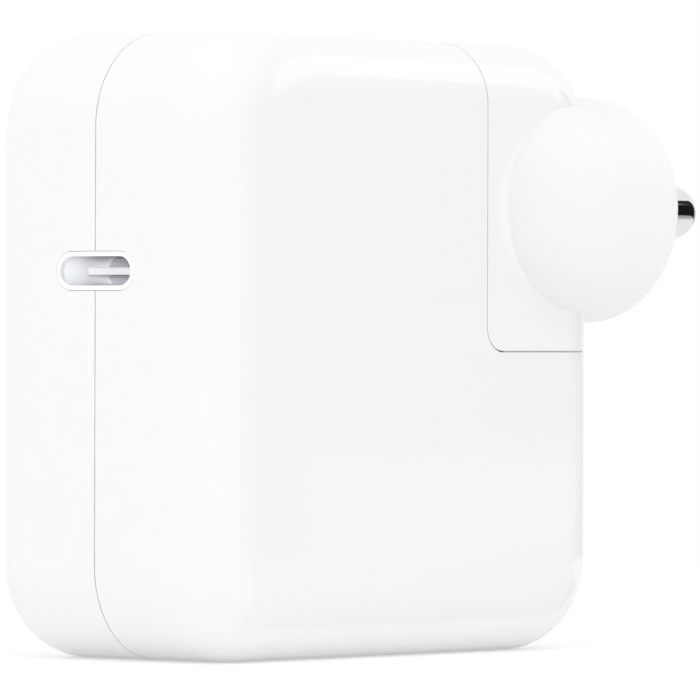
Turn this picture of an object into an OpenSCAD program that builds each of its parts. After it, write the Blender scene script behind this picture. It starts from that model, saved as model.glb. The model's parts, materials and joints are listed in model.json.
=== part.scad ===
// Square mains power adapter with a USB-C socket and a slide-off corner plug head.
// It stands on a narrow face: X runs from the socket to the plug pins, Y across the thickness, Z up.
// The origin is the middle of the bottom face.

/* [Body] */
// Length of the body, from the socket face to the back face
body_l = 57.2; // [56:0.1:62]
// Height of the body
body_h = 57.1; // [56:0.1:62]
// Thickness of the body
body_t = 28.5; // [27.5:0.1:32]
// Radius of the four corners of the square outline
corner_r = 8.7; // [8:0.1:10]
// Radius of the rounded edge around each large face
edge_r = 6; // [4.5:0.1:6.4]
// Wall of the moulded shells
wall = 1.8; // [1.5:0.1:2]
// Width of the open seam between the two half shells
seam = 0.12; // [0.1:0.01:0.2]
// Height of the lip that reaches across the seam
lip_h = 1.4; // [1:0.1:2]
// Thickness of that lip
lip_t = 0.7; // [0.5:0.05:0.9]
// Free space around the lip and around pieces set into the shells
fit_gap = 0.08; // [0.05:0.01:0.12]

/* [Plug head] */
// Length of the plug head, back from the back face
head_l = 18.5; // [18.4:0.1:19.6]
// Height of the plug head, down from the top
head_h = 29; // [28.6:0.1:30]
// Radius of the corner recess that the plug head fills
recess_r = 2.4; // [1.5:0.1:3]
// Gap between the plug head and the recess
head_gap = 0.14; // [0.1:0.01:0.2]

/* [Flange] */
// End radius of the oval flange
flange_r = 10.7; // [10.5:0.05:11]
// Height of the pins above the recess floor
flange_up = 13.55; // [13.3:0.01:13.9]
// How far the front of the flange stands out from the back face
flange_out = 3.4; // [3.3:0.1:4.5]
// Distance from the back face to the centre of the domed back
flange_in = 5.74; // [5.5:0.01:6.2]
// Rounding of the front edge of the flange
flange_edge = 0.8; // [0.5:0.05:0.9]
// Width of the front rim around the face plate, rounding included
rim = 1.15; // [1.1:0.01:1.3]
// Thickness of the face plate
face_t = 1.8; // [1.5:0.1:2.2]

/* [Mains pins] */
// Diameter of a mains pin
pin_d = 5.1; // [4.8:0.05:5.2]
// Distance between the mains pins
pin_pitch = 19; // [18.6:0.1:19.2]
// Length of a mains pin, out from the flange
pin_l = 14.7; // [14:0.1:20]
// Diameter of the collar behind the face plate
collar_d = 7; // [6.2:0.1:8]
// Thickness of the collar
collar_t = 1.2; // [0.8:0.1:1.6]
// How much thinner the pin's shank is where it passes through the face plate
shank_step = 0.5; // [0.3:0.05:0.8]
// Depth of the seat sunk into the face plate around each pin
seat_in = 0.4; // [0.2:0.1:0.8]
// Thickness of the contact straps
strap_t = 0.6; // [0.4:0.1:0.8]

/* [USB-C socket] */
// Width of the socket opening
usb_w = 8.5; // [8.3:0.01:8.6]
// Height of the socket opening
usb_h = 2.65; // [2.5:0.01:2.8]
// Height of the socket above the bottom face
usb_z = 35.4; // [35:0.1:37]
// Depth from the face to the back wall of the socket
usb_depth = 6.5; // [6:0.1:7]
// Width of the moulded ring around the opening
ring_w = 0.43; // [0.38:0.01:0.5]
// Depth of the moulded ring
ring_depth = 0.5; // [0.4:0.05:0.8]
// Thickness of the metal shell of the socket
usb_wall = 0.25; // [0.2:0.01:0.3]
// Width of the tongue
tongue_w = 6.69; // [6.4:0.01:6.8]
// Thickness of the tongue
tongue_t = 0.66; // [0.6:0.01:0.8]
// Distance from the face to the front of the tongue
tongue_in = 2.8; // [1.2:0.1:3.2]

/* [Inlet and lock] */
// Distance between the two inlet pins
inlet_pitch = 8.6; // [8.4:0.1:8.8]
// Diameter of an inlet pin
inlet_pin_d = 2.4; // [2.2:0.05:2.5]
// Depth of the figure-eight inlet
inlet_depth = 8; // [7.5:0.1:8.5]
// Radius of the lobes of the inlet opening
inlet_r = 3.85; // [3.75:0.05:3.95]
// Distance from the recess wall to the inlet
inlet_in = 11; // [10.8:0.1:11.2]
// Free space around the boss in the inlet
boss_gap = 0.25; // [0.2:0.01:0.3]
// Diameter of the head of the lock stud
stud_d = 6.4; // [6:0.1:6.8]
// Diameter of the neck of the lock stud
neck_d = 3.6; // [3.2:0.1:4]
// Height of the lock stud above the recess floor
stud_up = 14; // [12:0.1:15]
// Thickness of the head of the lock stud
stud_t = 1.7; // [1.4:0.1:1.8]
// Free space between the lock stud and its slot
slot_gap = 0.2; // [0.15:0.01:0.3]
// Thickness of the click spring
spring_t = 0.25; // [0.2:0.01:0.3]

/* [Electronics] */
// Thickness of the circuit boards
board_t = 1.2; // [1:0.1:1.6]
// Space between the near shell and the board
post_h = 3.1; // [2.8:0.1:3.4]
// Free space between neighbouring parts on the board
part_gap = 1; // [0.8:0.1:1.2]
// Free space between the parts and the shell around them
edge_gap = 1.5; // [1.4:0.1:1.8]
// Free space between the capacitors and the heat spreader
can_gap = 2; // [1:0.1:4]
// Radius of the output inductor
drum_r = 2.5; // [2.2:0.1:2.6]
// Thickness of the thermal pad at its thinnest
pad_t = 3; // [2.5:0.1:4]
// Thickness of the heat spreader
spreader_t = 0.5; // [0.4:0.1:0.6]

/* [Hidden] */
$fn = 64;
x0 = -body_l / 2;
x1 = body_l / 2;
// Inner faces of the shells
xl = x0 + wall;
xr = x1 - wall;
zb = wall;
zt = body_h - wall;
yi = body_t / 2 - wall;
// The corner recess
rec_x = x1 - head_l;
rec_z = body_h - head_h;
wall_x = rec_x - wall;
wall_z = rec_z - wall;
hx = rec_x + head_gap;
hz = rec_z + head_gap;
// The flange and the pins
dome_x = x1 - flange_in;
front_x = x1 + flange_out;
pin_y = pin_pitch / 2;
pin_z = rec_z + flange_up;
plate_r = flange_r - rim;
collar_x = front_x - face_t - collar_t;
strap_x = collar_x - 4.4;
// The inlet
in_x = rec_x + inlet_in;
in_y = inlet_pitch / 2;
boss_r = inlet_r - boss_gap;
sleeve_r = inlet_pin_d / 2 + 0.1;
sleeve_out = sleeve_r + 0.4;
insert_top = hz + wall + 2.85;
inlet_out = inlet_r + 0.85;
// The lock
stud_z = rec_z + stud_up;
neck_end = hx + 1.45 + slot_gap;
slot_x = neck_end - slot_gap;
plate_t = 1.2;
nut_t = 2;
nut_x = wall_x - plate_t - nut_t;
stud_end = neck_end + stud_t;
slot_end = stud_end + 0.15 + spring_t;
rail_x = slot_end + 1.2;
rail_w = stud_d + 2 * slot_gap + 5.6;
rail_top = stud_z + stud_d / 2 + slot_gap + 1.4;
// The boards
yb0 = -yi + post_h;
yb = yb0 + board_t;
spread_y = yi - 0.6;
under_y = spread_y - spreader_t;
usb_back = x0 + usb_depth;
bracket_h = usb_h + 2 * usb_wall + 3.2;
usb_board_x1 = xl + 9;
// Two rows of mains capacitors fill the height under the output inductor and the socket's board
drum_top = usb_z - bracket_h / 2 - board_t;
drum_z = drum_top - 0.35 - drum_r;
cans_top = drum_z - drum_r - part_gap;
can_d = (cans_top - zb - 2 * edge_gap) / 2;
can_l = under_y - yb - can_gap;
can_x = xl + edge_gap + can_d / 2;
can_x2 = can_x + can_d + part_gap;
can_z = zb + edge_gap + can_d / 2;
can_z2 = cans_top - can_d / 2;
// What stands between the capacitors and the inlet
next_x = can_x2 + can_d / 2 + part_gap;
inlet_x0 = in_x - inlet_out - 1.2;
free_l = in_x - 1 - part_gap - next_x;
film_w = 0.3 * free_l;
choke_r = min(0.32 * free_l, 0.26 * (wall_z - zb));
choke_x = next_x + film_w + part_gap + choke_r;
choke_z = zb + 0.8 + choke_r;
bridge_w = inlet_x0 - next_x - 3 * part_gap - 5;
// Two polymer cans share the height between the socket and the top
out_z = usb_z + bracket_h / 2;
out_r = (zt - out_z - 3 * 1.3) / 4;
out_x = xl + edge_gap + out_r;
// The transformer fills the tower between those cans and the lock
core_x0 = max(out_x + out_r + part_gap, usb_board_x1 + part_gap / 2);
core_x1 = nut_x - part_gap / 2;
core_w = core_x1 - core_x0;
core_h = zt - wall_z - 11;
coil_d = min(core_w - 4, under_y - pad_t - yb);
coil_h = core_h - 5.2;
core_t = 0.66 * coil_d;
leg_r = 0.18 * coil_d;
tr_x = (core_x0 + core_x1) / 2;
tr_z = zt - 2.2 - core_h / 2;
tr_y = yb + coil_d / 2 + 0.2;
pad_h = coil_h - 3.2;

module quarter(r) { intersection() { circle(r); square(r + 1); } }

module rrect(w, h, r) {
    square([w - 2 * r, h], center = true);
    square([w, h - 2 * r], center = true);
    for (a = [-1, 1], b = [-1, 1]) translate([a * (w / 2 - r), b * (h / 2 - r)]) scale([a, b]) quarter(r);
}

module slot2(w, h) {
    square([w - h, h], center = true);
    for (s = [0, 180]) rotate(s) translate([(w - h) / 2, 0]) intersection() {
        circle(h / 2);
        translate([0, -h]) square([h, 2 * h]);
    }
}

// Section from a corner's axis out to the rim, with both edges rounded
module edge_section(big, r, t) {
    translate([0, -t / 2]) square([big - r, t]);
    translate([big - r, r - t / 2]) square([r, t - 2 * r]);
    for (s = [-1, 1]) translate([big - r, s * (t / 2 - r)]) scale([1, s]) quarter(r);
}

// A block with rounded corners and rounded edges, thickness along its own Z
module brick(l, h, t, big, r) {
    cube([l - 2 * big, h - 2 * big, t], center = true);
    for (i = [0:3]) rotate(90 * i) {
        w = i % 2 == 0 ? l : h;
        v = i % 2 == 0 ? h : l;
        translate([w / 2 - big, 0, 0]) rotate([90, 0, 0])
            linear_extrude(v - 2 * big, center = true) edge_section(big, r, t);
        translate([w / 2 - big, v / 2 - big, 0]) rotate_extrude(angle = 90) edge_section(big, r, t);
    }
}

// Stands the block up: its Z becomes -Y, its Y becomes Z
module upright() { translate([0, 0, body_h / 2]) rotate([90, 0, 0]) children(); }

// Flat outline in X and Z, carried from y0 to y1
module across(y0, y1) { translate([0, y1, 0]) rotate([90, 0, 0]) linear_extrude(y1 - y0) children(); }

module outer_brick() { upright() brick(body_l, body_h, body_t, corner_r, edge_r); }

module inner_brick() {
    upright() brick(body_l - 2 * wall, body_h - 2 * wall, body_t - 2 * wall, corner_r - wall, edge_r - wall);
}

// Everything above and behind the corner (x, z), with the corner rounded
module corner_outline(x, z, r) {
    translate([x + r, z]) square([60, 90]);
    translate([x, z + r]) square([r, 90]);
    translate([x + r, z + r]) rotate(180) quarter(r);
}

module corner_prism(x, z, r) { across(-60, 60) corner_outline(x, z, r); }

// Two round lobes joined by a web, long axis along Y
module eight(r, web) {
    for (s = [-1, 1]) translate([0, s * in_y]) circle(r);
    square([web, 2 * in_y], center = true);
}

module at_inlet(z) { translate([in_x, 0, z]) children(); }

module along_x(x) { translate([x, 0, 0]) rotate([0, 90, 0]) children(); }

// Socket outline carried from xa to xb
module socket_bar(xa, xb, w, h) {
    translate([xa, 0, usb_z]) rotate([90, 0, 90]) linear_extrude(xb - xa) slot2(w, h);
}

// Shell common to both halves, before it is cut along the seam
module whole_shell() {
    difference() {
        outer_brick();
        difference() {
            inner_brick();
            corner_prism(wall_x, wall_z, recess_r + wall);
        }
        corner_prism(rec_x, rec_z, recess_r);
        socket_bar(x0 - 1, xl + 1, usb_w + 2 * ring_w + fit_gap, usb_h + 2 * ring_w + fit_gap);
        at_inlet(wall_z - 1) linear_extrude(wall + 2) eight(inlet_out + fit_gap, 2 * inlet_r);
        translate([0, 0, stud_z]) along_x(wall_x - 1) cylinder(h = wall + 2, d = neck_d + 0.4 + 2 * fit_gap);
    }
}

module ring(inset, t, y0, y1) {
    across(y0, y1) translate([0, body_h / 2]) difference() {
        rrect(body_l - 2 * inset, body_h - 2 * inset, corner_r - inset);
        rrect(body_l - 2 * (inset + t), body_h - 2 * (inset + t), corner_r - inset - t);
    }
}

module posts(points, y0, y1, d) {
    for (p = points) translate([p[0], y0, p[1]]) rotate([-90, 0, 0]) cylinder(h = y1 - y0, d = d);
}

near_posts = [[xl + 7, zb + 7], [xr - 7, zb + 7], [xl + 7, zt - 7], [wall_x - 6, zt - 7]];
far_posts = [[xl + 9, zb + 9], [xr - 9, zb + 9], [xl + 9, zt - 9]];

module housing_near() {
    color("whitesmoke") {
        difference() {
            whole_shell();
            translate([-50, -seam / 2, -10]) cube([100, 50, 90]);
        }
        difference() {
            ring(wall - lip_t, lip_t, -seam / 2 - 0.6, lip_h);
            corner_prism(wall_x, wall_z, recess_r + wall);
            socket_bar(x0 - 1, xl + 2, usb_w + 2 * ring_w + fit_gap, usb_h + 2 * ring_w + fit_gap);
        }
        posts(near_posts, -yi - 0.2, yb0, 4);
    }
}

module housing_far() {
    color("whitesmoke") {
        difference() {
            whole_shell();
            translate([-50, -50 + seam / 2, -10]) cube([100, 50, 90]);
            ring(wall - lip_t - fit_gap, lip_t + fit_gap + 2, -1, lip_h + 0.15);
        }
        posts(far_posts, spread_y, yi + 0.2, 5);
    }
}

// Moulded ring that frames the socket
module usb_bezel() {
    color("white") difference() {
        socket_bar(x0, x0 + ring_depth, usb_w + 2 * ring_w, usb_h + 2 * ring_w);
        socket_bar(x0 - 1, x0 + 1, usb_w, usb_h);
    }
}

module usb_shell() {
    color("silver") difference() {
        socket_bar(x0 + ring_depth, usb_back + 2.5, usb_w + 2 * usb_wall, usb_h + 2 * usb_wall);
        socket_bar(x0, usb_back + 3, usb_w, usb_h);
    }
}

mid_t = 0.2;
mid_out = 0.35;

module usb_tongue() {
    color("white") difference() {
        union() {
            translate([x0 + tongue_in, -tongue_w / 2, usb_z - tongue_t / 2])
                cube([usb_depth - tongue_in + 0.5, tongue_w, tongue_t]);
            socket_bar(usb_back, usb_back + 2.4, usb_w - 0.1, usb_h - 0.1);
        }
        usb_sheet(0.02);
        for (s = [-1, 1]) contact_row(s, 0);
    }
}

// Thin latch plate inside the tongue, which shows at both of its sides
module usb_sheet(g) {
    translate([x0 + tongue_in + 0.5, -tongue_w / 2 - mid_out, usb_z - mid_t / 2 - g])
        cube([usb_depth - tongue_in + 1, tongue_w + 2 * mid_out, mid_t + 2 * g]);
}

module usb_midplate() { color("dimgray") usb_sheet(0); }

module contact_row(s, up) {
    for (i = [-5.5:5.5]) translate([x0 + tongue_in + 0.4, i * 0.5 - 0.125,
        s > 0 ? usb_z + tongue_t / 2 - 0.1 : usb_z - tongue_t / 2 - up]) cube([2.6, 0.25, 0.1 + up]);
}

module usb_contacts() { color("gold") for (s = [-1, 1]) contact_row(s, 0.02); }

module usb_bracket() {
    color("gainsboro") difference() {
        translate([xl, -6.6, usb_z - bracket_h / 2]) cube([usb_back + 1.5 - xl, 13.2, bracket_h]);
        socket_bar(x0, usb_back + 3, usb_w + 2 * usb_wall + fit_gap, usb_h + 2 * usb_wall + fit_gap);
    }
}

module usb_board() {
    color("darkgreen") translate([xl + 0.4, yb, drum_top])
        cube([usb_board_x1 - xl - 0.4, 7 - yb, board_t]);
}

module inlet_block() {
    color("gainsboro") difference() {
        union() {
            at_inlet(rec_z - inlet_depth - 1.6) linear_extrude(inlet_depth + 1.6)
                eight(inlet_out, 2 * inlet_r);
            at_inlet(wall_z - 1.4) linear_extrude(1.4) eight(inlet_out + 0.6, 2 * inlet_r + 1);
        }
        at_inlet(rec_z - inlet_depth) linear_extrude(inlet_depth + 1) eight(inlet_r, 5.2);
        for (s = [-1, 1]) at_inlet(rec_z - inlet_depth - 3) translate([0, s * in_y, 0])
            cylinder(h = 6, d = inlet_pin_d + fit_gap);
    }
}

module inlet_pins() {
    color("silver") for (s = [-1, 1]) at_inlet(0) translate([0, s * in_y, 0]) {
        translate([0, 0, rec_z - inlet_depth - 3.2]) cylinder(h = inlet_depth + 1.4, d = inlet_pin_d);
        translate([0, 0, rec_z - 1.8]) cylinder(h = 0.7, d1 = inlet_pin_d, d2 = inlet_pin_d - 1);
        translate([0, 0, rec_z - inlet_depth]) cylinder(h = 0.6, d = inlet_pin_d + 0.8);
    }
}

module lock_stud() {
    color("silver") translate([0, 0, stud_z]) {
        along_x(nut_x - 0.2) cylinder(h = rec_x - nut_x + 0.2, d = neck_d + 0.4);
        along_x(rec_x) cylinder(h = neck_end - rec_x, d = neck_d);
        along_x(neck_end) cylinder(h = stud_t - 0.4, d = stud_d);
        along_x(stud_end - 0.4) cylinder(h = 0.4, d1 = stud_d, d2 = stud_d - 0.8);
    }
}

module stud_plate() {
    color("silver") difference() {
        translate([wall_x - plate_t, -5, stud_z - 5]) cube([plate_t, 10, 10]);
        translate([0, 0, stud_z]) along_x(wall_x - 2) cylinder(h = 3, d = neck_d + 0.4 + 2 * fit_gap);
    }
}

module stud_nut() {
    color("silver") translate([0, 0, stud_z]) difference() {
        along_x(nut_x) cylinder(h = nut_t, d = 7.4, $fn = 6);
        along_x(wall_x - 4) cylinder(h = 4, d = neck_d + 0.4 + fit_gap);
    }
}

board_in = 1;

module main_board() {
    color("darkgreen") across(yb0, yb) difference() {
        translate([0, body_h / 2])
            rrect(body_l - 2 * (wall + board_in), body_h - 2 * (wall + board_in), 5.4);
        translate([wall_x - board_in, wall_z - board_in]) square(60);
        translate([in_x - inlet_out - 1.2, rec_z - inlet_depth - 2.6]) square(60);
    }
}

module on_board(x, z) { translate([x, yb, z]) rotate([-90, 0, 0]) children(); }

module chip(x, z, w, h, t) { translate([x - w / 2, yb, z - h / 2]) cube([w, t, h]); }

module fuse() {
    color("dimgray") {
        on_board(xr - 2.9, zb + 6) cylinder(h = 9, d = 4);
        on_board(xr - 2.9, zb + 6) cylinder(h = 0.8, d = 4.6);
    }
}

choke_y = yb + 4.6;

// Round core that stands on its edge winding, axis along Y
module choke_core() {
    color("darkslategray") translate([choke_x, choke_y, choke_z]) rotate([90, 0, 0])
        rotate_extrude() translate([choke_r - 3, -2.2]) square([2, 4.4]);
}

module choke_winding() {
    color("peru") translate([choke_x, choke_y, choke_z]) rotate([90, 0, 0]) for (a = [-62, 118]) rotate(a)
        rotate_extrude(angle = 124) difference() {
            translate([choke_r - 3.9, -3.2]) square([3.9, 6.4]);
            translate([choke_r - 3.05, -2.25]) square([2.1, 4.5]);
        }
    color("peru") for (s = [-1, 1])
        on_board(choke_x + s * (choke_r - 1.9), choke_z) cylinder(h = 1.5, d = 1);
}

film_h = wall_z - zb - edge_gap - 10;

module x_capacitor() {
    color("goldenrod") chip(next_x + film_w / 2, zb + edge_gap + film_h / 2, film_w, film_h, 11);
}

module bridge_rectifier() {
    color("dimgray") chip(inlet_x0 - part_gap - bridge_w / 2, wall_z - 5, bridge_w, 6.6, 3.2);
}

cans = [[can_x, can_z], [can_x2, can_z], [can_x, can_z2]];

module bulk_capacitors() {
    color("darkslateblue") for (c = cans) on_board(c[0], c[1]) rotate_extrude() {
        square([can_d / 2, 1.6]);
        translate([0, 1.6]) square([can_d / 2 - 0.5, 0.8]);
        translate([0, 2.4]) square([can_d / 2, can_l - 2.4]);
    }
}

module at_coil(z) { translate([tr_x, tr_y, tr_z + z]) children(); }

module transformer_core() {
    color("dimgray") {
        difference() {
            at_coil(0) cube([core_w, core_t, core_h], center = true);
            at_coil(0) cube([core_w - 3.4, core_t + 1, coil_h + 0.2], center = true);
        }
        at_coil(-coil_h / 2 - 0.2) cylinder(h = coil_h + 0.4, r = leg_r);
    }
}

module transformer_bobbin() {
    color("beige") {
        difference() {
            union() {
                at_coil(-coil_h / 2) cylinder(h = coil_h, r = leg_r + 0.7);
                for (s = [-1, 1]) at_coil(s * (coil_h / 2 - 0.5) - 0.5) cylinder(h = 1, d = coil_d);
            }
            at_coil(-coil_h) cylinder(h = 2 * coil_h, r = leg_r + 0.1);
        }
        for (s = [-1, 1]) translate([tr_x - 5, yb, tr_z + s * (coil_h / 2 - 0.5) - 0.5]) cube([10, 2.6, 1]);
    }
}

module transformer_winding() {
    color("gold") difference() {
        at_coil(-coil_h / 2 + 1.05) cylinder(h = coil_h - 2.1, d = coil_d - 1.2);
        at_coil(-coil_h) cylinder(h = 2 * coil_h, r = leg_r + 0.75);
    }
}

module thermal_pad() {
    color("pink") difference() {
        translate([tr_x - 5, under_y - pad_t - 2, tr_z - pad_h / 2]) cube([10, pad_t + 2, pad_h]);
        at_coil(-pad_h) cylinder(h = 2 * pad_h, d = coil_d - 1.1);
    }
}

module y_capacitor() {
    color("steelblue") translate([wall_x - 5, yb + 3.9, wall_z + 1]) {
        cylinder(h = 3, r = 3.6);
        for (s = [-1, 1]) translate([s * 2, 0, 1.5]) rotate([90, 0, 0]) cylinder(h = 3.9, d = 0.8);
    }
}

sw_x = can_x2;
sw_z = can_z2;

module power_switch() { color("dimgray") chip(sw_x, sw_z, 6.6, can_d - 1, 2.3); }

module output_rectifier() { color("dimgray") chip(tr_x - core_w / 2 + 3, tr_z, 5.2, 6, 1.2); }

module controller_chips() {
    color("dimgray") {
        chip(next_x + 2.5, wall_z - 4.4, 5, 4, 1.5);
        chip(next_x + 2, wall_z + 4, 4, 5, 1.5);
        chip(next_x + 6.2, wall_z + 7, 3, 3, 1);
    }
}

module output_capacitors() {
    color("silver") for (z = [out_z + 1.3 + out_r, zt - 1.3 - out_r]) on_board(out_x, z) rotate_extrude() {
        square([out_r, 1.2]);
        translate([0, 1.2]) square([out_r - 0.3, 0.6]);
        translate([0, 1.8]) square([out_r, 8.2]);
    }
}

module output_inductor() {
    color("dimgray") on_board(xl + edge_gap + drum_r, drum_z) {
        cylinder(h = 1.2, r = drum_r);
        cylinder(h = 7, r = drum_r - 0.8);
        translate([0, 0, 5.8]) cylinder(h = 1.2, r = drum_r);
    }
}

spread_in = 3.2;

// Bent sheet: a face along the far shell and a leg down to the transistor
module heat_spreader() {
    color("silver") {
        across(spread_y - spreader_t, spread_y) difference() {
            translate([0, body_h / 2])
                rrect(body_l - 2 * (wall + spread_in), body_h - 2 * (wall + spread_in), 4);
            translate([wall_x - 2, wall_z - 2]) square(60);
        }
        translate([sw_x - 2.3, yb + 2.3, sw_z - 2]) cube([4.6, spread_y - 0.2 - yb - 2.3, 0.8]);
    }
}

module insulator_sheet() {
    color("lightyellow") difference() {
        across(-yi, -yi + 0.3) difference() {
            translate([0, body_h / 2]) rrect(body_l - 2 * (edge_r + 0.1), body_h - 2 * (edge_r + 0.1), 3);
            translate([wall_x - 2, wall_z - 2]) square(60);
        }
        posts(near_posts, -yi - 1, -yi + 2, 4.4);
    }
}

// Insulated leads from the inlet pins down and across to the board
module mains_leads() {
    color("black") for (s = [-1, 1]) {
        z = rec_z - inlet_depth - 3.2 - (s > 0 ? 3.6 : 1.4);
        at_inlet(z) translate([0, s * in_y, 0]) {
            cylinder(h = rec_z - inlet_depth - 3.2 - z, d = 1.6);
            sphere(d = 1.6);
            rotate([90, 0, 0]) cylinder(h = s * in_y - yb, d = 1.6);
        }
    }
}

// Section of the flange from its axis out to its edge: domed back, straight side, rounded front
module flange_section(r, front, e) {
    translate([-r, 0]) intersection() {
        translate([r, 0]) circle(r);
        square([r, r + 1]);
    }
    square([front - e, r]);
    translate([front - e, 0]) square([e, r - e]);
    translate([front - e, r - e]) quarter(e);
}

module flange(r, front, e) {
    translate([dome_x, 0, pin_z]) {
        for (s = [-1, 1]) translate([0, s * pin_y, 0]) rotate([0, 90, 0]) rotate([0, 0, s * 90 - 90])
            rotate_extrude(angle = 180) rotate(90) mirror([0, 1]) flange_section(r, front, e);
        for (m = [0, 1]) mirror([0, 0, m]) rotate([90, 0, 0])
            linear_extrude(2 * pin_y, center = true) flange_section(r, front, e);
    }
}

// Oval outline around both pins, carried from xa to xb
module oval(xa, xb, r) {
    translate([xa, 0, pin_z]) rotate([90, 0, 90]) linear_extrude(xb - xa) slot2(2 * (pin_y + r), 2 * r);
}

module plug_housing() {
    color("whitesmoke") difference() {
        union() {
            intersection() {
                outer_brick();
                corner_prism(hx, hz, recess_r - head_gap);
            }
            flange(flange_r, front_x - dome_x, flange_edge);
        }
        difference() {
            intersection() {
                inner_brick();
                corner_prism(hx + wall, hz + wall, 1);
            }
            translate([hx, -rail_w / 2 - 1.2, rec_z])
                cube([rail_x + 1.2 - hx, rail_w + 2.4, rail_top + 1.2 - rec_z]);
        }
        oval(x1 - wall - 3, front_x - face_t - fit_gap, flange_r - wall);
        oval(front_x - face_t - fit_gap, front_x + 1, plate_r);
        translate([hx - 1, -rail_w / 2 - fit_gap, hz - 1])
            cube([rail_x + fit_gap - hx + 1, rail_w + 2 * fit_gap, rail_top + fit_gap - hz + 1]);
        at_inlet(hz - 1) linear_extrude(wall + 2) eight(boss_r + fit_gap, 5 - boss_gap);
    }
}

module plug_face() {
    color("whitesmoke") difference() {
        oval(front_x - face_t, front_x, plate_r - fit_gap);
        for (s = [-1, 1]) translate([0, s * pin_y, pin_z]) rotate([0, 90, 0]) {
            translate([0, 0, collar_x]) cylinder(h = face_t + 2, d = pin_d - shank_step + fit_gap);
            translate([0, 0, front_x - seat_in]) cylinder(h = 1, d = pin_d + fit_gap);
        }
    }
}

module plug_pins() {
    color("silver") for (s = [-1, 1]) translate([0, s * pin_y, pin_z]) rotate([0, 90, 0]) {
        translate([0, 0, strap_x + strap_t]) cylinder(h = front_x - strap_x, d = pin_d - shank_step);
        translate([0, 0, collar_x]) cylinder(h = collar_t, d = collar_d);
        translate([0, 0, front_x + fit_gap]) cylinder(h = pin_l - pin_d / 2 - fit_gap, d = pin_d);
        translate([0, 0, front_x + pin_l - pin_d / 2]) rotate_extrude() quarter(pin_d / 2);
    }
}

// From the inner end of each pin down to the top of its sleeve
module pin_straps() {
    color("goldenrod") for (s = [-1, 1]) scale([1, s, 1]) {
        translate([strap_x, 0, 0]) rotate([90, 0, 90]) linear_extrude(strap_t) polygon([
            [pin_y - 2, pin_z + 2], [pin_y + 2, pin_z + 2], [pin_y + 2, pin_z - 2],
            [in_y + 1.5, insert_top], [in_y - 1.5, insert_top], [in_y - 1.5, insert_top + 2.5]]);
        translate([in_x - 1.7, in_y - 1.5, insert_top]) cube([strap_x - in_x + 1.8, 3, strap_t]);
    }
}

module socket_insert() {
    color("gainsboro") difference() {
        union() {
            at_inlet(rec_z - inlet_depth + 0.5) linear_extrude(insert_top - rec_z + inlet_depth - 0.9)
                eight(boss_r, 5 - boss_gap);
            at_inlet(hz + wall) linear_extrude(1.4) eight(boss_r + 0.9, 6);
        }
        for (s = [-1, 1]) at_inlet(0) translate([0, s * in_y, 0])
            cylinder(h = body_h, r = sleeve_out + fit_gap / 2);
    }
}

module socket_sleeves() {
    color("goldenrod") for (s = [-1, 1]) at_inlet(0) translate([0, s * in_y, 0]) difference() {
        translate([0, 0, rec_z - inlet_depth + 0.9])
            cylinder(h = insert_top - rec_z + inlet_depth - 0.9, r = sleeve_out);
        cylinder(h = body_h, r = sleeve_r);
    }
}

// Round-ended slot outline, open downwards, carried from xa to xb
module stud_slot(xa, xb, d) {
    translate([xa, 0, 0]) rotate([90, 0, 90]) linear_extrude(xb - xa) {
        translate([0, stud_z]) intersection() {
            circle(d / 2);
            translate([-d, 0]) square([2 * d, d]);
        }
        translate([-d / 2, hz - 1]) square([d, stud_z - hz + 1]);
    }
}

module slide_rail() {
    color("gainsboro") difference() {
        intersection() {
            translate([hx, -rail_w / 2, hz]) cube([rail_x - hx, rail_w, rail_top - hz]);
            corner_prism(hx, hz, recess_r - head_gap);
        }
        stud_slot(hx - 1, slot_x, neck_d + 2 * slot_gap);
        stud_slot(slot_x, slot_end, stud_d + 2 * slot_gap);
    }
}

module click_spring() {
    color("silver") translate([slot_end - spring_t, -2.5, hz + 1]) cube([spring_t, 5, stud_z - hz]);
}

housing_near();
housing_far();
usb_bezel();
usb_shell();
usb_tongue();
usb_contacts();
usb_midplate();
usb_bracket();
usb_board();
inlet_block();
inlet_pins();
lock_stud();
stud_plate();
stud_nut();
main_board();
fuse();
choke_core();
choke_winding();
x_capacitor();
bridge_rectifier();
bulk_capacitors();
transformer_core();
transformer_bobbin();
transformer_winding();
y_capacitor();
power_switch();
output_rectifier();
controller_chips();
output_capacitors();
output_inductor();
heat_spreader();
insulator_sheet();
thermal_pad();
mains_leads();
plug_housing();
plug_face();
plug_pins();
pin_straps();
socket_insert();
socket_sleeves();
slide_rail();
click_spring();
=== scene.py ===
"""Square white mains adapter with an oval charging socket and a slide-off plug head, on a pale table."""

import json
import math

import bmesh
import bpy
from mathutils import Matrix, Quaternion, Vector


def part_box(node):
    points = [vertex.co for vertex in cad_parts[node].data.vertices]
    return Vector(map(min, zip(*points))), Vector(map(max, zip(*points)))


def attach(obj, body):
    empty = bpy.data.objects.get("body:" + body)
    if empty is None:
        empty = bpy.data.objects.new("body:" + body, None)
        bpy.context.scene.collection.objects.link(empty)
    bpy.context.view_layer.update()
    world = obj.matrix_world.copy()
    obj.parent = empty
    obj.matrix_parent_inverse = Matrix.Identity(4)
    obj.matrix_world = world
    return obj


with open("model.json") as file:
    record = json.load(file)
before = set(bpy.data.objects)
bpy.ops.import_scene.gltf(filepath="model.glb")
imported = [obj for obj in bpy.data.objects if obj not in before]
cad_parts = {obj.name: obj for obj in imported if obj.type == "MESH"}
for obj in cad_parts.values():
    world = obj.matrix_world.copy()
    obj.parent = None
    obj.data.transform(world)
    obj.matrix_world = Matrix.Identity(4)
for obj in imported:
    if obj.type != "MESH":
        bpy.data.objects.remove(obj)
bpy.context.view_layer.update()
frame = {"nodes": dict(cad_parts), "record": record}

MM = 0.001

# The plug head, the body's near half and the pins' cover, as the frame has them.
head_low, head_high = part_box("plug_housing")
body_low, body_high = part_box("housing_near")
cover_low, cover_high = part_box("plug_face")

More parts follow.
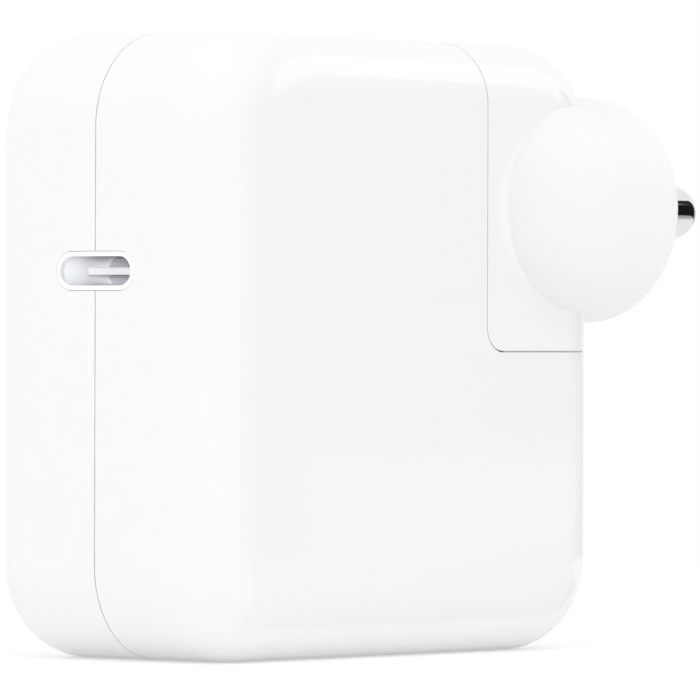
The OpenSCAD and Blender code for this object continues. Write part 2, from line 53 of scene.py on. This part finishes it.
# The half ball at each end of the plug head's flange, in mm: its radius, and how far its middle lies behind the
# head's front. Its middle is level with the pins' cover.
FLANGE_RADIUS, FLANGE_SETBACK = 10.7, 9.14
flange_middle = Vector((head_high[0] - FLANGE_SETBACK * MM, head_high[1] - FLANGE_RADIUS * MM,
                        (cover_low[2] + cover_high[2]) / 2))

# Roughness of the polished and the satin white, and the narrow step between them, in mm past the flange's radius.
GLOSS, SATIN = 0.05, 0.55
SATIN_EDGE = (0.02, 0.12)

# Relief: heights in mm of a moulding's ripple and of a metal's drawing marks, which run longer along X.
RIPPLE_HEIGHT, MARK_HEIGHT = 0.02, 0.01
MARK_STRETCH = 0.15
# The white gloss is so well polished that its ripple hardly bends a reflection.
POLISHED = 0.003

# Socket, in mm along X: where its shell's colour turns lighter deep inside, as painted light, and where the
# painted shade on its tongue's root starts.
SHELL_LIGHT_DEPTH, TONGUE_SHADE_ROOT = (-24.6, -22.3), (-22.25, -22.15)

# Shade seal, a grey strip put in the joint as painted shade, in mm: its drop below the plug head, its start from
# the head's back, its inset from the body's skin, the radius of its bends, its height and its width.
SHADE_SEAL_DROP, SHADE_SEAL_START, SHADE_SEAL_INSET = 0.13, 2.46, 0.1
SHADE_SEAL_RADIUS, SHADE_SEAL_HEIGHT, SHADE_SEAL_WIDTH = 5.9, 0.11, 0.5
SHADE_SEAL_SEGMENTS = 14

# Table: the glow stands for light passing through the laminate, and the lift carries it to plain white.
TABLE_LIFT, TABLE_GLOW = 0.32, 0.225
TABLE_COLOUR = "E2E2E3"
TABLE_RADIUS, TABLE_SEGMENTS = 250, 96

# Room: soft light from all round, which dims as its direction turns towards +X and +Y at once.
ROOM_LEVEL, ROOM_BACK, BACK_TURN = 0.96, 0.6, 0.5

# The soft dark stretch that only the gloss mirrors: where it lies, its level by angle from there in degrees, and
# the powers of that level in red, green and blue, which keep the dark a little cool.
DARK_STRETCH = (-35, -10)
DARK_FALL = ((80, 1.0), (60, 0.9), (46, 0.79), (38, 0.74), (28, 0.56), (19, 0.38), (10, 0.27))
DARK_TINT = (1.2, 1.1, 1.0)

# The body's middle, round which the lamps and cards stand. Their places are azimuth and elevation in degrees.
MIDDLE = Vector((0, 0, 30)) * MM

# Lamps: azimuth, elevation, distance and side in metres, and power in watts.
LAMPS = (
    ("top_light", -120, 75, 1.2, 1.0, 1.12),
    ("front_light", -150, 15, 1.5, 1.0, 0.58),
)
# Two small lamps at one place, by power and lit pieces: the room hardly reaches the deep socket and its ring.
SOCKET_LAMP_PLACE = (-141, 2.5, 0.6, 0.1)
SOCKET_LAMPS = (
    ("socket_light", 4.7, ("usb_shell", "usb_tongue")),
    ("ring_light", 0.6, ("usb_bezel",)),
)

# Rails of the cards that only the gloss mirrors. The flag darkens the broad side, and the strip light in front of
# it bends over the rounded top edge as one bright band. The pin has a black patch under a pale one, and the low
# card lightens the foot of the broad side.
FLAG_FOOT = -5
FLAG_TOP = ((-50, 9), (-49.5, 18), (-46.5, 27), (-42, 35), (-39.5, 36), (-36, 33.5), (-33.5, 29))
STRIP_INNER = ((-51, 12), (-48, 23), (-44, 32.5), (-41, 36), (-39, 36.5), (-37, 34), (-33, 29.5), (-33.5, 27),
               (-35, 23), (-37, 16))
STRIP_OUTER = ((-53, 12), (-50.5, 26), (-44, 35.5), (-40, 39.5), (-34, 44.5), (-26, 48.5), (-12, 51), (-12, 43),
               (-20, 36), (-27, 19))
PIN_FLAG = (((-36, -1.4), (-22, -1.4), (-9, -1.4)), ((-36, 25), (-22, 25), (-9, 12)))
PIN_CARD = (((-32, 25), (-20, 25.5), (-8, 13), (10, -3)), ((-30, 34), (-8, 35), (12, 31), (24, 12)))
LOW_CARD = (((-48.5, -10.6), (-37.3, -9), (-20, -8)), ((-48.5, -4.5), (-37.3, -4.5), (-20, -4.5)))

# Cards: distance in mm, rails, level, and for two of them a fade to another level.
CARDS = (
    ("black_flag", 148, ([(azimuth, FLAG_FOOT) for azimuth, _ in FLAG_TOP], FLAG_TOP), 0.16, (60, 105, 0.5)),
    ("strip_light", 145, (STRIP_INNER, STRIP_OUTER), 1.13, None),
    ("pin_flag", 149, PIN_FLAG, 0.0105, None),
    ("pin_card", 149.5, PIN_CARD, 0.97, None),
    ("low_card", 147, LOW_CARD, 0.68, (14, 18.2, 0.16)),
)
CARD_ROWS = 6

# Mat, in mm: a grey card that only the gloss mirrors, just above the table, which starts beside the broad side
# and
# widens away from it. It is painted shade: it darkens the table's reflection at the foot of the broad side.
MAT = (((-24, -15.3, 0.3), (60, -15.3, 0.3)), ((120, -220, 0.3), (330, -220, 0.3)))
MAT_SHADE_LEVEL = 0.42

# Camera: place, aim, lens and sensor in mm, roll in degrees, and the range it sees in metres.
CAMERA_PLACE, CAMERA_AIM = (-536.0, -455.1, 29.5), (3.00, -3.58, 28.28)
LENS_LENGTH, SENSOR_WIDTH = 387.8, 36
CAMERA_ROLL = 0.171
CAMERA_RANGE = (0.05, 20)


def linear(hex_code):
    """An sRGB hex colour as linear RGBA."""
    parts = [int(hex_code[i:i + 2], 16) / 255 for i in (0, 2, 4)]
    return [c / 12.92 if c <= 0.04045 else ((c + 0.055) / 1.055) ** 2.4 for c in parts] + [1.0]


def add(tree, kind, settings=()):
    """Adds a node with its settings and links.

    A setting is a property, or an input by its name or number. An output given as the value is linked in.
    """
    node = tree.nodes.new(kind)
    for name, value in dict(settings).items():
        if isinstance(value, bpy.types.NodeSocket):
            tree.links.new(value, node.inputs[name])
        elif isinstance(name, int) or name in node.inputs:
            node.inputs[name].default_value = value
        else:
            setattr(node, name, value)
    return node


def new_material(name):
    """An empty material and its node tree."""
    material = bpy.data.materials.new(name)
    material.use_nodes = True
    material.node_tree.nodes.clear()
    return material, material.node_tree


def relief(tree, place, width, height, strength, detail=2.0):
    """Fine unevenness of a surface, as its normal: width and height in mm, and how strongly it shows."""
    noise = add(tree, "ShaderNodeTexNoise", {"Vector": place, "Scale": 1 / (width * MM), "Detail": detail})
    bump = add(tree, "ShaderNodeBump", {
        "Height": noise.outputs["Fac"], "Strength": strength, "Distance": height * MM,
    })
    return bump.outputs["Normal"]


def moulded(name, colour, roughness, ior=1.58, grain_mm=0.6, grain=0.02, deep=None):
    """Moulded plastic: one colour and the faint ripple of the tool's polish.

    Deep holds two places along X in mm, and the colour that takes over from one to the other, which paints the
    socket's light and shade by depth.
    """
    material, tree = new_material(name)
    place = add(tree, "ShaderNodeTexCoord").outputs["Object"]
    tint = linear(colour)
    if deep:
        (start, end), painted_depth_colour = deep
        past = add(tree, "ShaderNodeMapRange", {
            "Value": add(tree, "ShaderNodeSeparateXYZ", {"Vector": place}).outputs["X"],
            "From Min": start * MM, "From Max": end * MM,
        })
        tint = add(tree, "ShaderNodeMix", {
            "data_type": "RGBA", "Factor": past.outputs[0], 6: tint, 7: linear(painted_depth_colour),
        }).outputs[2]
    shader = add(tree, "ShaderNodeBsdfPrincipled", {
        "Base Color": tint, "Roughness": roughness, "IOR": ior,
        "Normal": relief(tree, place, grain_mm, RIPPLE_HEIGHT, grain),
    })
    add(tree, "ShaderNodeOutputMaterial", {"Surface": shader.outputs[0]})
    return material


def plug_head_plastic(name, colour, flange_colour, ior, ripple_mm=0.6):
    """White polycarbonate, polished in the tool, with the round flange left satin.

    The gloss shows one crisp reflection of the lights, and the satin spreads it into an even glow. The flange is
    what lies within its radius of a line from its middle straight forward to the pins, on both sides.
    """
    material, tree = new_material(name)
    place = add(tree, "ShaderNodeTexCoord").outputs["Object"]
    axes = add(tree, "ShaderNodeSeparateXYZ", {"Vector": place}).outputs
    along = add(tree, "ShaderNodeMath", {"operation": "MINIMUM", 0: axes["X"], 1: flange_middle.x})
    side = add(tree, "ShaderNodeMath", {"operation": "ABSOLUTE", 0: axes["Y"]})
    folded = add(tree, "ShaderNodeCombineXYZ", {"X": along.outputs[0], "Y": side.outputs[0], "Z": axes["Z"]})
    reach = add(tree, "ShaderNodeVectorMath", {"operation": "DISTANCE", 0: folded.outputs[0], 1: flange_middle})
    satin = add(tree, "ShaderNodeMapRange", {
        "Value": reach.outputs["Value"], "To Min": 1.0, "To Max": 0.0,
        "From Min": (FLANGE_RADIUS + SATIN_EDGE[0]) * MM, "From Max": (FLANGE_RADIUS + SATIN_EDGE[1]) * MM,
    }).outputs[0]
    rough = add(tree, "ShaderNodeMapRange", {"Value": satin, "To Min": GLOSS, "To Max": SATIN})
    tint = add(tree, "ShaderNodeMix", {
        "data_type": "RGBA", "Factor": satin, 6: linear(colour), 7: linear(flange_colour),
    })
    shader = add(tree, "ShaderNodeBsdfPrincipled", {
        "Base Color": tint.outputs[2], "Roughness": rough.outputs[0], "IOR": ior,
        "Normal": relief(tree, place, ripple_mm, RIPPLE_HEIGHT, POLISHED),
    })
    add(tree, "ShaderNodeOutputMaterial", {"Surface": shader.outputs[0]})
    return material


def metal(name, colour, roughness, grain_mm=0.15, grain=0.03):
    """Bare or plated metal with drawing marks along X.

    Real marks are too fine to show, so they are drawn coarser.
    """
    material, tree = new_material(name)
    place = add(tree, "ShaderNodeTexCoord").outputs["Object"]
    along = add(tree, "ShaderNodeMapping", {"Vector": place, "Scale": (MARK_STRETCH, 1.0, 1.0)})
    shader = add(tree, "ShaderNodeBsdfPrincipled", {
        "Base Color": linear(colour), "Roughness": roughness, "Metallic": 1.0,
        "Normal": relief(tree, along.outputs[0], grain_mm, MARK_HEIGHT, grain, detail=3.0),
    })
    add(tree, "ShaderNodeOutputMaterial", {"Surface": shader.outputs[0]})
    return material


FINISHES = {
    # Outside: a hard white gloss that mirrors the room in thin clean edges, and a ring polished a touch softer.
    "shell": moulded("gloss_white_polycarbonate", "FBFBFB", GLOSS, grain=POLISHED),
    "shell_ring": moulded("polished_white_ring", "FAFAFB", 0.1),
    # Nylon insulators: milky, half dull, so they read as separate mouldings beside the gloss.
    "white_moulding": moulded("white_nylon", "F2F2F4", 0.3),
    "grey_moulding": moulded("grey_nylon", "D9DADD", 0.35),
    # Epoxy and phenolic: dark and gritty, or tan and waxy.
    "black_moulding": moulded("black_epoxy", "202124", 0.45, grain_mm=0.1, grain=0.2),
    "beige_moulding": moulded("phenolic_bobbin", "D8CBA6", 0.4),
    # Wrapped and dipped parts: tight skins with a soft shine.
    "film_box": moulded("yellow_film_box", "D2A93A", 0.35),
    "can_sleeve": moulded("shrink_sleeve", "23283F", 0.25),
    "winding_tape": moulded("polyester_tape", "E0BE3C", 0.3),
    "disc_coat": moulded("epoxy_disc_coat", "2E5FA8", 0.35),
    "clear_sheet": moulded("polyester_sheet", "E6E2C8", 0.3),
    # Silicones: rubbery, with almost no shine.
    "pad": moulded("silicone_pad", "C79AA6", 0.7, ior=1.41),
    "seal": moulded("grey_silicone_seal", "C6C7CB", 0.7, ior=1.41),
    # Wire, board and ferrite: smooth black insulation, deep green gloss, and a dull sintered grain.
    "lead": moulded("lead_insulation", "1B1B1D", 0.4),
    "board": moulded("solder_mask", "14502E", 0.25),
    "ferrite": moulded("sintered_ferrite", "2E2F33", 0.6, grain_mm=0.2, grain=0.3),
    # Metals: the pins nearly mirror bright, the stampings and rolled sheet brushed and softer.
    "steel": metal("stainless_steel", "D5D7DC", 0.22),
    "dark_steel": metal("dark_steel", "6E7076", 0.35),
    "nickel": metal("polished_nickel", "E8E9EB", 0.06, grain=0.01),
    "gold": metal("gold_plate", "E2BC6A", 0.2),
    "copper": metal("beryllium_copper", "C98F5E", 0.3),
    "can_metal": metal("drawn_aluminium", "D0D2D6", 0.25),
    "spreader_metal": metal("rolled_aluminium", "C6C8CC", 0.35),
}

# Three pieces finished apart from their slot: the plug head with its satin flange, and the socket's matt shell
# and tongue, whose colours carry painted light and shade: the shell is painted lighter deep inside, and the
# tongue painted darker at its root.
OWN_FINISHES = {
    "plug_housing": plug_head_plastic("white_plug_head", "FBFBFB", "F9F9F9", 1.5),
    "usb_shell": moulded("satin_socket_shell_painted_deep_light", "CED0D3", 0.5, deep=(SHELL_LIGHT_DEPTH, "EAECEF")),
    "usb_tongue": moulded("white_socket_tongue_painted_root_shade", "BBBCBE", 0.5, deep=(TONGUE_SHADE_ROOT, "9FA1A6")),
}


def link_object(name, data):
    """A named object in the scene, for a mesh, a lamp or a camera."""
    held = bpy.data.objects.new(name, data)
    bpy.context.collection.objects.link(held)
    return held


def join_in_a_row(shape, places):
    """Corners at the places, joined one to the next by edges."""
    corners = [shape.verts.new(place) for place in places]
    for pair in zip(corners, corners[1:]):
        shape.edges.new(pair)
    return corners


def finished_object(name, shape, material):
    """The shape as an object of one material."""
    mesh = bpy.data.meshes.new(name)
    shape.to_mesh(mesh)
    shape.free()
    mesh.materials.append(material)
    return link_object(name, mesh)


def seam_shade_seal():
    """Thin grey strip on the recess floor, just inside the skin, put in as painted shade: it keeps light from
    showing under the plug head, so the joint reads as a dark line.
    """
    floor = head_low[2] - SHADE_SEAL_DROP * MM
    start, end = head_low[0] + SHADE_SEAL_START * MM, body_high[0] - SHADE_SEAL_INSET * MM
    side = -body_low[1] - SHADE_SEAL_INSET * MM
    shape = bmesh.new()
    corners = join_in_a_row(shape, ((start, -side, floor), (end, -side, floor), (end, side, floor),
                                    (start, side, floor)))
    bmesh.ops.bevel(shape, geom=corners[1:-1], offset=SHADE_SEAL_RADIUS * MM, affect="VERTICES",
                    segments=SHADE_SEAL_SEGMENTS, profile=0.5, material=-1)
    raised = bmesh.ops.extrude_edge_only(shape, edges=shape.edges[:])["geom"]
    bmesh.ops.translate(shape, verts=[part for part in raised if isinstance(part, bmesh.types.BMVert)],
                        vec=(0, 0, SHADE_SEAL_HEIGHT * MM))
    bmesh.ops.recalc_face_normals(shape, faces=shape.faces[:])
    bmesh.ops.solidify(shape, geom=shape.faces[:], thickness=SHADE_SEAL_WIDTH * MM)
    seal = finished_object("seam_shade_seal", shape, FINISHES["seal"])
    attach(seal, "adapter")


def table_top():
    """Round pale table that keeps the contact shadow and runs out to plain white."""
    shape = bmesh.new()
    bmesh.ops.create_circle(shape, cap_ends=True, segments=TABLE_SEGMENTS, radius=TABLE_RADIUS * MM)
    material, tree = new_material("matt_white_laminate")
    rays = add(tree, "ShaderNodeLightPath").outputs
    matt = add(tree, "ShaderNodeBsdfDiffuse", {"Color": linear(TABLE_COLOUR)})
    lift = add(tree, "ShaderNodeMapRange", {
        "Value": rays["Is Camera Ray"], "To Min": TABLE_GLOW, "To Max": TABLE_LIFT,
    })
    glow = add(tree, "ShaderNodeEmission", {"Strength": lift.outputs[0]})
    both = add(tree, "ShaderNodeAddShader", {0: matt.outputs[0], 1: glow.outputs[0]})
    add(tree, "ShaderNodeOutputMaterial", {"Surface": both.outputs[0]})
    finished_object("table_top", shape, material)


def direction(azimuth, elevation):
    """Unit vector: azimuth turns from +X towards +Y."""
    a, e = math.radians(azimuth), math.radians(elevation)
    return Vector((math.cos(a) * math.cos(e), math.sin(a) * math.cos(e), math.sin(e)))


def studio_world():
    """White surround of even light, dimmer behind, with one soft dark stretch that only the gloss mirrors."""
    world = bpy.data.worlds.new("studio")
    bpy.context.scene.world = world
    world.use_nodes = True
    tree = world.node_tree
    tree.nodes.clear()
    rays = add(tree, "ShaderNodeLightPath").outputs
    way = add(tree, "ShaderNodeTexCoord").outputs["Generated"]
    axes = add(tree, "ShaderNodeSeparateXYZ", {"Vector": way}).outputs
    behind = add(tree, "ShaderNodeMath", {"operation": "MINIMUM", 0: axes["X"], 1: axes["Y"]})
    room = add(tree, "ShaderNodeMapRange", {
        "Value": behind.outputs[0], "From Max": BACK_TURN, "To Min": ROOM_LEVEL, "To Max": ROOM_BACK,
    })
    seen = add(tree, "ShaderNodeMath", {
        "operation": "MAXIMUM", 0: rays["Is Camera Ray"], 1: rays["Is Transmission Ray"],
    })
    plain = add(tree, "ShaderNodeMath", {"operation": "MAXIMUM", 0: room.outputs[0], 1: seen.outputs[0]})
    nearness = add(tree, "ShaderNodeVectorMath", {
        "operation": "DOT_PRODUCT", 0: way, 1: direction(*DARK_STRETCH),
    })
    fall = add(tree, "ShaderNodeValToRGB", {"Fac": nearness.outputs["Value"]})
    stops = fall.color_ramp.elements
    stops.remove(stops[0])
    for index, (angle, level) in enumerate(DARK_FALL):
        stop = stops.new(0.5) if index else stops[0]
        stop.position = math.cos(math.radians(angle))
        stop.color = [level ** power for power in DARK_TINT] + [1.0]
    surround = add(tree, "ShaderNodeMix", {
        "data_type": "RGBA", "Factor": rays["Is Glossy Ray"], 6: plain.outputs[0], 7: fall.outputs["Color"],
    })
    back = add(tree, "ShaderNodeBackground", {"Color": surround.outputs[2]})
    add(tree, "ShaderNodeOutputWorld", {"Surface": back.outputs[0]})


def softbox(name, azimuth, elevation, distance, side, power):
    """Square soft lamp aimed at the middle, left out of the gloss."""
    light = bpy.data.lights.new(name, "AREA")
    light.size = side
    light.energy = power
    lamp = link_object(name, light)
    way = direction(azimuth, elevation)
    lamp.location = MIDDLE + way * distance
    lamp.rotation_euler = way.to_track_quat("Z", "Y").to_euler()
    lamp.visible_glossy = False
    return lamp


def light_only(lamp, nodes):
    """Keeps a lamp's light and shadows to the named nodes."""
    lit = bpy.data.collections.new(lamp.name)
    bpy.context.scene.collection.children.link(lit)
    for node in nodes:
        lit.objects.link(frame["nodes"][node])
    lamp.light_linking.receiver_collection = lit
    lamp.light_linking.blocker_collection = lit


def reflector(name, rails, level, fade=None):
    """Card that only the gloss mirrors, spanned between two rails, from black at 0 to plain white at 1.

    A fade holds two heights in mm and the level at the second. An even card fades from its level to itself: a
    dim level set straight on the shader would not be sampled as a light, and the satin flange would shift.
    """
    shape = bmesh.new()
    for rail in rails:
        join_in_a_row(shape, rail)
    across = bmesh.ops.bridge_loops(shape, edges=shape.edges[:])["edges"]
    bmesh.ops.subdivide_edges(shape, edges=across, cuts=CARD_ROWS - 1, use_grid_fill=True)
    material, tree = new_material(name)
    start, end, end_level = fade or (0, 1, level)
    place = add(tree, "ShaderNodeTexCoord").outputs["Object"]
    strength = add(tree, "ShaderNodeMapRange", {
        "Value": add(tree, "ShaderNodeSeparateXYZ", {"Vector": place}).outputs["Z"],
        "From Min": start * MM, "From Max": end * MM, "To Min": level, "To Max": end_level,
    })
    glow = add(tree, "ShaderNodeEmission", {"Strength": strength.outputs[0]})
    add(tree, "ShaderNodeOutputMaterial", {"Surface": glow.outputs[0]})
    card = finished_object(name, shape, material)
    for ray in ("camera", "diffuse", "transmission", "volume_scatter", "shadow"):
        setattr(card, "visible_" + ray, False)


def studio_camera():
    """Level view from the socket's side, at the middle of the body's height."""
    lens = bpy.data.cameras.new("view")
    lens.lens, lens.sensor_width = LENS_LENGTH, SENSOR_WIDTH
    lens.clip_start, lens.clip_end = CAMERA_RANGE
    camera = link_object("view", lens)
    place, aim = Vector(CAMERA_PLACE) * MM, Vector(CAMERA_AIM) * MM
    turn = (place - aim).to_track_quat("Z", "Y") @ Quaternion((0, 0, 1), math.radians(CAMERA_ROLL))
    camera.location = place
    camera.rotation_euler = turn.to_euler()
    bpy.context.scene.camera = camera


for part in frame["record"]["subparts"]:
    finish = OWN_FINISHES.get(part["node"], FINISHES[part["material_slot"]])
    frame["nodes"][part["node"]].material_slots[0].material = finish

studio_camera()
studio_world()
table_top()
seam_shade_seal()

for lamp_row in LAMPS:
    softbox(*lamp_row)
for lamp_name, watts, lit_nodes in SOCKET_LAMPS:
    light_only(softbox(lamp_name, *SOCKET_LAMP_PLACE, watts), lit_nodes)

for card_name, distance, corner_rails, card_level, card_fade in CARDS:
    card_rails = [[MIDDLE + direction(*corner) * distance * MM for corner in rail] for rail in corner_rails]
    reflector(card_name, card_rails, card_level, card_fade)
# The mat paints shade into the broad side's reflection of the table.
reflector("mat", [[Vector(corner) * MM for corner in rail] for rail in MAT], MAT_SHADE_LEVEL)

scene = bpy.context.scene
scene.view_settings.view_transform = "Standard"
